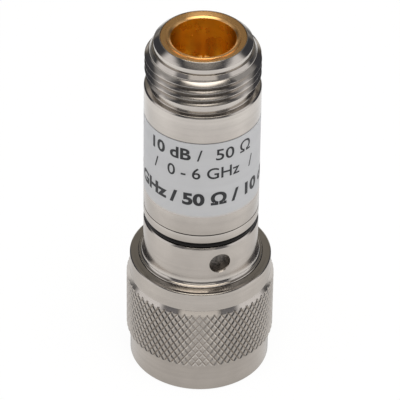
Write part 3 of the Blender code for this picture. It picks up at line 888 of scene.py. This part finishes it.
class ATTENUATOR_OT_jack_contacts(bpy.types.Operator):
    """Gold socket, slotted centre contact and bead of the jack"""

    bl_idname = "attenuator.jack_contacts"
    bl_label = "Jack contacts"

    def execute(self, context):
        face = high("jack_outer_contact")
        bush = reach("jack_outer_contact")
        socket = 4.45 * MM
        line = 3.5 * MM
        reference = face - 9.05 * MM
        bottom = low("jack_outer_contact")
        outline = [
            (socket, face - 0.16 * MM, 0.04 * MM),
            (socket + 0.34 * MM, face + 0.02 * MM, 0.06 * MM),
            (socket + 0.54 * MM, face + 0.03 * MM, 0.02 * MM),
            (socket + 0.6 * MM, face - 0.01 * MM),
            (socket + 0.61 * MM, face - 0.1 * MM),
            (socket + 0.72 * MM, face - 0.1 * MM, 0.03 * MM),
            (bush + 0.3 * MM, face + 0.02 * MM, 0.02 * MM),
            (bush + 0.34 * MM, face - 0.06 * MM),
            (bush, face - 0.3 * MM),
            (bush, bottom),
            (line, bottom),
            (line, reference, 0.05 * MM),
            (socket, reference, 0.1 * MM),
        ]
        outer = turned("jack_socket_plated", outline)
        # Faces down the socket take the gold with the painted reflection.
        indices = []
        for wall in outer.data.polygons:
            middle = wall.center
            inside = math.hypot(middle.x, middle.y) < socket + 0.01 * MM and middle.z < face - 0.14 * MM
            indices.append(1 if inside else 0)
        dress(outer, "body", "gold", material(gold_plating), material(gold_bore_painted_reflection), stands_for=["jack_outer_contact"])
        outer.data.polygons.foreach_set("material_index", indices)

        radius = reach("jack_centre_contact")
        tip = high("jack_centre_contact")
        base = low("jack_centre_contact")
        outline = [
            (0.0, tip - 5.6 * MM),
            (0.85 * MM, tip - 5.6 * MM),
            (0.85 * MM, tip, 0.2 * MM),
            (radius, tip, 0.25 * MM),
            (radius, base),
            (0.0, base),
        ]
        contact = turned("jack_centre_contact_slotted", outline, BORE_STEPS)
        for turn in (0.0, 90.0):
            form = bmesh.new()
            bmesh.ops.create_cube(form, size=1.0, matrix=Matrix.Diagonal((4 * radius, 0.35 * MM, 9.2 * MM, 1.0)))
            slot = keep(form, "finger_slot")
            slot.data.transform(Matrix.Translation((0.0, 0.0, tip)) @ Matrix.Rotation(math.radians(turn), 4, "Z"))
            carve(contact, slot)
        dress(contact, "body", "gold", material(gold_plating), stands_for=["jack_centre_contact"])

        outline = [
            (BEAD_HOLE, high("jack_bead"), 0.06 * MM),
            (reach("jack_bead"), high("jack_bead"), 0.06 * MM),
            (reach("jack_bead"), low("jack_bead")),
            (BEAD_HOLE, low("jack_bead")),
        ]
        bead = turned("jack_bead_turned", outline, BORE_STEPS)
        dress(bead, "body", "bead", material(bead_plastic), stands_for=["jack_bead"])
        return {"FINISHED"}


class ATTENUATOR_OT_plug_contacts(bpy.types.Operator):
    """Ferrule, gasket, centre pin and bead of the plug"""

    bl_idname = "attenuator.plug_contacts"
    bl_label = "Plug contacts"

    def execute(self, context):
        bush = reach("plug_outer_contact")
        tip = low("plug_outer_contact")
        top = high("plug_outer_contact")
        ferrule = 4.0 * MM
        line = 3.5 * MM
        outline = [
            (line, top),
            (bush, top),
            (bush, top - 7.2 * MM),
            (ferrule, top - 7.2 * MM),
            (ferrule, tip, 0.15 * MM),
            (line, tip, 0.08 * MM),
        ]
        outer = turned("plug_ferrule_plated", outline, BORE_STEPS)
        dress(outer, "body", "gold", material(gold_plating), stands_for=["plug_outer_contact"])

        outline = [
            (4.15 * MM, high("plug_gasket")),
            (reach("plug_gasket"), high("plug_gasket")),
            (reach("plug_gasket"), low("plug_gasket"), 0.2 * MM),
            (4.15 * MM, low("plug_gasket"), 0.2 * MM),
        ]
        gasket = turned("plug_gasket_moulded", outline, BORE_STEPS)
        dress(gasket, "body", "gasket", material(gasket_rubber), stands_for=["plug_gasket"])

        radius = reach("plug_pin")
        pin = 0.825 * MM
        outline = [
            (0.0, high("plug_pin")),
            (radius, high("plug_pin")),
            (radius, tip + 5.5 * MM, 0.1 * MM),
            (pin, tip + 5.5 * MM),
            (pin, low("plug_pin") + 0.8 * MM, 0.15 * MM),
            (pin / 2, low("plug_pin"), 0.12 * MM),
            (0.0, low("plug_pin")),
        ]
        centre = turned("plug_pin_turned", outline, BORE_STEPS)
        dress(centre, "body", "gold", material(gold_plating), stands_for=["plug_pin"])

        outline = [
            (BEAD_HOLE, high("plug_bead")),
            (reach("plug_bead"), high("plug_bead")),
            (reach("plug_bead"), low("plug_bead"), 0.06 * MM),
            (BEAD_HOLE, low("plug_bead"), 0.06 * MM),
        ]
        bead = turned("plug_bead_turned", outline, BORE_STEPS)
        dress(bead, "body", "bead", material(bead_plastic), stands_for=["plug_bead"])
        return {"FINISHED"}


class ATTENUATOR_OT_inner_parts(bpy.types.Operator):
    """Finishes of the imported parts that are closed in"""

    bl_idname = "attenuator.inner_parts"
    bl_label = "Inner parts"

    def execute(self, context):
        finishes = {
            "retaining_ring": stainless_steel,
            "attenuator_card": alumina,
            "card_holder_front": silver_plating,
            "card_holder_back": silver_plating,
            "plug_card_contact": gold_plating,
            "jack_card_contact": gold_plating,
            "plug_ground_ring": gold_plating,
            "jack_ground_ring": gold_plating,
        }
        for node, maker in finishes.items():
            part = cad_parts[node]
            part.data.materials.clear()
            part.data.materials.append(material(maker))
        return {"FINISHED"}


# Stage


def soft_box(tree, turn, rise, middle, half, soft, colour):
    """Light of a colour inside a window of azimuth and elevation in degrees, with soft edges."""
    shares = []
    for source, centre, half_width, edge in zip((turn, rise), middle, half, soft):
        off = add_node(tree, "ShaderNodeMath", {"operation": "SUBTRACT"}, {1: centre}, {0: source})
        size = add_node(tree, "ShaderNodeMath", {"operation": "ABSOLUTE"}, links={0: off})
        inside = add_node(
            tree,
            "ShaderNodeMapRange",
            {"interpolation_type": "SMOOTHSTEP"},
            {"From Min": half_width + edge, "From Max": half_width - edge},
            {"Value": size},
        )
        shares.append(inside)
    share = add_node(tree, "ShaderNodeMath", {"operation": "MULTIPLY"}, links={0: shares[0], 1: shares[1]})
    return add_node(
        tree, "ShaderNodeVectorMath", {"operation": "SCALE"}, {0: colour}, {"Scale": share}
    )


def studio_world():
    """White to the eye, and round the object a dim room with soft boxes."""
    world = bpy.data.worlds.new("studio_world")
    world.use_nodes = True
    tree = world.node_tree
    tree.nodes.clear()
    place = add_node(tree, "ShaderNodeTexCoord")
    parts = add_node(tree, "ShaderNodeSeparateXYZ", links={"Vector": place.outputs["Generated"]})
    near = add_node(tree, "ShaderNodeMath", {"operation": "MULTIPLY"}, {1: -1.0}, {0: parts.outputs["Y"]})
    angle = add_node(tree, "ShaderNodeMath", {"operation": "ARCTAN2"}, links={0: parts.outputs["X"], 1: near})
    side = add_node(tree, "ShaderNodeMath", {"operation": "ABSOLUTE"}, links={0: angle})
    turn = add_node(tree, "ShaderNodeMath", {"operation": "DEGREES"}, links={0: side})
    lift = add_node(tree, "ShaderNodeMath", {"operation": "ARCSINE"}, links={0: parts.outputs["Z"]})
    rise = add_node(tree, "ShaderNodeMath", {"operation": "DEGREES"}, links={0: lift})
    # Middle, half width and soft edge as (azimuth, elevation) in degrees, and the colour
    boxes = (
        ((0.0, 28.0), (30.0, 13.0), (6.0, 2.5), (0.9, 0.88, 0.86)),
        ((44.0, 29.0), (14.0, 14.0), (5.0, 4.0), (0.26, 0.26, 0.28)),
        ((79.0, 17.0), (24.0, 28.0), (8.0, 4.0), (1.0, 1.0, 1.03)),
        ((180.0, -2.0), (30.0, 14.0), (10.0, 6.0), (0.8, 0.77, 0.73)),
        ((180.0, 35.0), (34.0, 32.0), (12.0, 8.0), (0.22, 0.21, 0.19)),
        ((0.0, 57.0), (62.0, 3.5), (8.0, 2.0), (0.32, 0.31, 0.3)),
        ((110.0, 48.0), (28.0, 14.0), (10.0, 5.0), (0.42, 0.42, 0.43)),
        ((0.0, 90.0), (360.0, 23.0), (3.0, 3.0), (2.5, 2.4, 2.25)),
    )
    total = None
    for middle, half, soft, colour in boxes:
        lit = soft_box(tree, turn, rise, middle, half, soft, colour)
        if total is None:
            total = add_node(
                tree, "ShaderNodeVectorMath", {"operation": "MAXIMUM"}, {1: (0.065, 0.068, 0.08)}, {0: lit}
            )
        else:
            total = add_node(tree, "ShaderNodeVectorMath", {"operation": "MAXIMUM"}, links={0: total, 1: lit})
    around = add_node(tree, "ShaderNodeBackground", links={"Color": total})
    white = add_node(tree, "ShaderNodeBackground", None, {"Color": (1.0, 1.0, 1.0, 1.0), "Strength": 1.0})
    seen = add_node(tree, "ShaderNodeLightPath")
    mixed = add_node(tree, "ShaderNodeMixShader", links={0: seen.outputs["Is Camera Ray"], 1: around, 2: white})
    add_node(tree, "ShaderNodeOutputWorld", links={"Surface": mixed})
    return world


def studio_floor():
    """Pale paper floor that is white to the eye and keeps a faint shadow.

    The metal mirrors it in a tone of its own that fades with distance, set to match the photograph's reflections.
    """
    made = new_material("white_studio_paper")
    tree = made.node_tree
    point = object_point(tree)
    fibres = add_node(tree, "ShaderNodeTexNoise", None, {"Scale": 1 / (0.4 * MM), "Detail": 3.0}, {"Vector": point})
    relief = add_node(tree, "ShaderNodeBump", None, {"Distance": 0.004 * MM}, {"Height": fibres})
    paper = add_node(tree, "ShaderNodeBsdfDiffuse", None, {"Color": colours().floor}, {"Normal": relief})
    parts = add_node(tree, "ShaderNodeSeparateXYZ", links={"Vector": point})
    distance = add_node(tree, "ShaderNodeVectorMath", {"operation": "LENGTH"}, links={0: point})
    # Painted shadow in reflections: the floor the metal mirrors is 0.65 bright near the object, rising to full between
    # 18 mm and 70 mm away.
    painted_shadow_fade = add_node(
        tree,
        "ShaderNodeMapRange",
        None,
        {"From Min": 18 * MM, "From Max": 70 * MM},
        {"Value": distance.outputs["Value"]},
    )
    near = add_node(
        tree,
        "ShaderNodeMix",
        {"data_type": "RGBA"},
        {6: (0.65, 0.638, 0.63, 1.0), 7: (1.0, 1.01, 1.03, 1.0)},
        {"Factor": painted_shadow_fade},
    )
    # Painted shade in reflections: the mirrored floor dims to 0.12 between 125 mm and 250 mm away.
    painted_shade_far = add_node(
        tree,
        "ShaderNodeMapRange",
        {"interpolation_type": "SMOOTHSTEP"},
        {"From Min": 125 * MM, "From Max": 250 * MM, "To Min": 1.0, "To Max": 0.12},
        {"Value": distance.outputs["Value"]},
    )
    # Painted light in reflections: the mirrored floor is up to 1.12 bright at 78 degrees to either side of the front,
    # 0.97 more than 45 degrees from there.
    front = add_node(tree, "ShaderNodeMath", {"operation": "MULTIPLY"}, {1: -1.0}, {0: parts.outputs["Y"]})
    side = add_node(tree, "ShaderNodeMath", {"operation": "ABSOLUTE"}, links={0: parts.outputs["X"]})
    turn = add_node(tree, "ShaderNodeMath", {"operation": "ARCTAN2"}, links={0: side, 1: front})
    off = add_node(tree, "ShaderNodeMath", {"operation": "SUBTRACT"}, {1: math.radians(78.0)}, {0: turn})
    away = add_node(tree, "ShaderNodeMath", {"operation": "ABSOLUTE"}, links={0: off})
    painted_light_flanks = add_node(
        tree,
        "ShaderNodeMapRange",
        {"interpolation_type": "SMOOTHSTEP"},
        {"From Min": math.radians(45.0), "From Max": 0.0, "To Min": 0.97, "To Max": 1.12},
        {"Value": away},
    )
    level = add_node(tree, "ShaderNodeMath", {"operation": "MULTIPLY"}, links={0: painted_shade_far, 1: painted_light_flanks})
    mirrored_painted_shade_and_light = add_node(
        tree, "ShaderNodeVectorMath", {"operation": "SCALE"}, links={0: near.outputs[2], "Scale": level}
    )
    path = add_node(tree, "ShaderNodeLightPath")
    # Camera rays see plain white; glossy rays see the mirrored floor with its painted shade and light.
    tone = add_node(
        tree,
        "ShaderNodeMix",
        {"data_type": "RGBA"},
        {7: (1.0, 1.0, 1.0, 1.0)},
        {"Factor": path.outputs["Is Camera Ray"], 6: mirrored_painted_shade_and_light},
    )
    glow = add_node(tree, "ShaderNodeEmission", None, {"Strength": 1.0}, {"Color": tone.outputs[2]})
    watched = add_node(
        tree,
        "ShaderNodeMath",
        {"operation": "MAXIMUM"},
        links={0: path.outputs["Is Camera Ray"], 1: path.outputs["Is Glossy Ray"]},
    )
    glow_share = 0.94
    share = add_node(tree, "ShaderNodeMath", {"operation": "MULTIPLY"}, {1: glow_share}, {0: watched})
    mixed = add_node(tree, "ShaderNodeMixShader", links={0: share, 1: paper, 2: glow})
    add_node(tree, "ShaderNodeOutputMaterial", links={"Surface": mixed})
    return made


def toward(azimuth, elevation):
    """Direction from the object: azimuth 0 is the camera's side, 90 is +X."""
    turn, rise = math.radians(azimuth), math.radians(elevation)
    return Vector((math.sin(turn) * math.cos(rise), -math.cos(turn) * math.cos(rise), math.sin(rise)))


def area_lamp(name, azimuth, elevation, distance, size, power):
    """Square soft lamp that points at the object's middle."""
    lamp = bpy.data.lights.new(name, "AREA")
    lamp.shape = "SQUARE"
    lamp.size = size
    lamp.energy = power
    lamp.color = (1.0, 0.985, 0.965)
    made = put(name, lamp)
    aim = Vector((0.0, 0.0, CAMERA_AIM_HEIGHT))
    made.location = aim + toward(azimuth, elevation) * distance
    made.rotation_euler = (made.location - aim).to_track_quat("Z", "Y").to_euler()
    made.visible_glossy = False
    return made


class ATTENUATOR_OT_stage(bpy.types.Operator):
    """White floor, soft light and the photograph's camera"""

    bl_idname = "attenuator.stage"
    bl_label = "Stage"

    def execute(self, context):
        scene = context.scene
        scene.view_settings.view_transform = "Standard"
        scene.world = studio_world()
        form = bmesh.new()
        bmesh.ops.create_circle(form, cap_ends=True, segments=96, radius=FLOOR_RADIUS)
        floor = keep(form, "studio_floor")
        floor.data.materials.append(studio_floor())
        if floor.data.polygons[0].normal.z < 0.0:
            floor.data.flip_normals()
        area_lamp("overhead_soft_lamp", 12.0, 74.0, 0.7, 0.42, 3.2)

        view = bpy.data.cameras.new("photograph_camera")
        view.lens = CAMERA_LENS
        view.sensor_width = SENSOR_WIDTH
        view.clip_start = 0.01
        view.clip_end = 10.0
        camera = put("photograph_camera", view)
        back = Vector((0.0, -math.cos(CAMERA_ELEVATION), math.sin(CAMERA_ELEVATION)))
        camera.location = Vector((CAMERA_AIM_X, 0.0, CAMERA_AIM_HEIGHT)) + back * CAMERA_DISTANCE
        tilt = Euler((math.radians(90.0) - CAMERA_ELEVATION, 0.0, 0.0)).to_matrix()
        roll = Matrix.Rotation(CAMERA_ROLL, 3, "Z")
        camera.rotation_euler = (tilt @ roll).to_euler()
        scene.camera = camera
        return {"FINISHED"}


PIECES = (
    ATTENUATOR_OT_nut,
    ATTENUATOR_OT_plug_body,
    ATTENUATOR_OT_seal_and_sleeve,
    ATTENUATOR_OT_label,
    ATTENUATOR_OT_jack_shell,
    ATTENUATOR_OT_jack_contacts,
    ATTENUATOR_OT_plug_contacts,
    ATTENUATOR_OT_inner_parts,
    ATTENUATOR_OT_stage,
)


class ATTENUATOR_PT_panel(bpy.types.Panel):
    """Sizes, colours and pieces of the attenuator"""

    bl_idname = "ATTENUATOR_PT_panel"
    bl_label = "Attenuator"
    bl_space_type = "VIEW_3D"
    bl_region_type = "UI"
    bl_category = "Attenuator"

    def draw(self, context):
        for group in (sizes(), colours()):
            column = self.layout.column(align=True)
            for name in group.__annotations__:
                column.prop(group, name)
        column = self.layout.column(align=True)
        for piece in PIECES:
            column.operator(piece.bl_idname)


CLASSES = (AttenuatorSizes, AttenuatorColours, *PIECES, ATTENUATOR_PT_panel)


def register():
    for item in CLASSES:
        bpy.utils.register_class(item)
    bpy.types.Scene.attenuator_sizes = bpy.props.PointerProperty(type=AttenuatorSizes)
    bpy.types.Scene.attenuator_colours = bpy.props.PointerProperty(type=AttenuatorColours)


def unregister():
    del bpy.types.Scene.attenuator_colours
    del bpy.types.Scene.attenuator_sizes
    for item in reversed(CLASSES):
        bpy.utils.unregister_class(item)


def main():
    register()
    bpy.ops.attenuator.nut()
    bpy.ops.attenuator.plug_body()
    bpy.ops.attenuator.seal_and_sleeve()
    bpy.ops.attenuator.label()
    bpy.ops.attenuator.jack_shell()
    bpy.ops.attenuator.jack_contacts()
    bpy.ops.attenuator.plug_contacts()
    bpy.ops.attenuator.inner_parts()
    bpy.ops.attenuator.stage()


if __name__ == "__main__":
    main()
